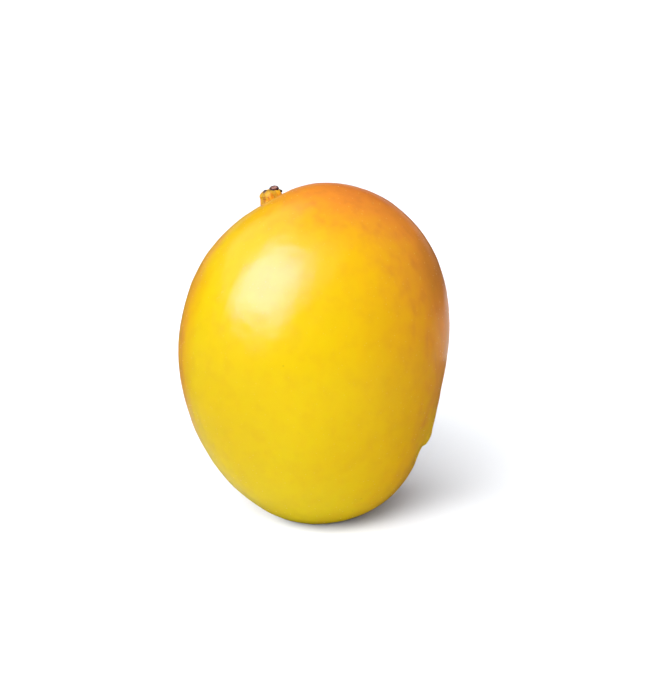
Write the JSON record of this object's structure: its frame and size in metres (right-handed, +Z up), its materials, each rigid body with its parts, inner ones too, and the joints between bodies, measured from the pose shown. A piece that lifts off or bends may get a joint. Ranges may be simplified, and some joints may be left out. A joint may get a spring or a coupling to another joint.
{
  "type": "mango",
  "caption": "Ripe yellow mango standing on its narrow end, with a small beak on one flank and a stub of stalk at the stem end.",
  "frame": {"origin": "centre of the small flat spot that the fruit rests on", "axes": "+Z up through the crown; the broad cheek faces -Y; the beak is on the +X flank; the stem end lies on the -X side of the crown"},
  "size_m": [0.086, 0.0741, 0.1085],
  "materials": {
    "fruit_skin": "smooth waxy skin, yellow with an orange blush at the crown and greener at the foot, satin gloss",
    "stalk": "dull yellow-brown corky stalk, dark brown where it broke"
  },
  "bodies": {
    "root": {"fruit": "fruit_skin", "stem_stub": "stalk"}
  },
  "joints": []
}
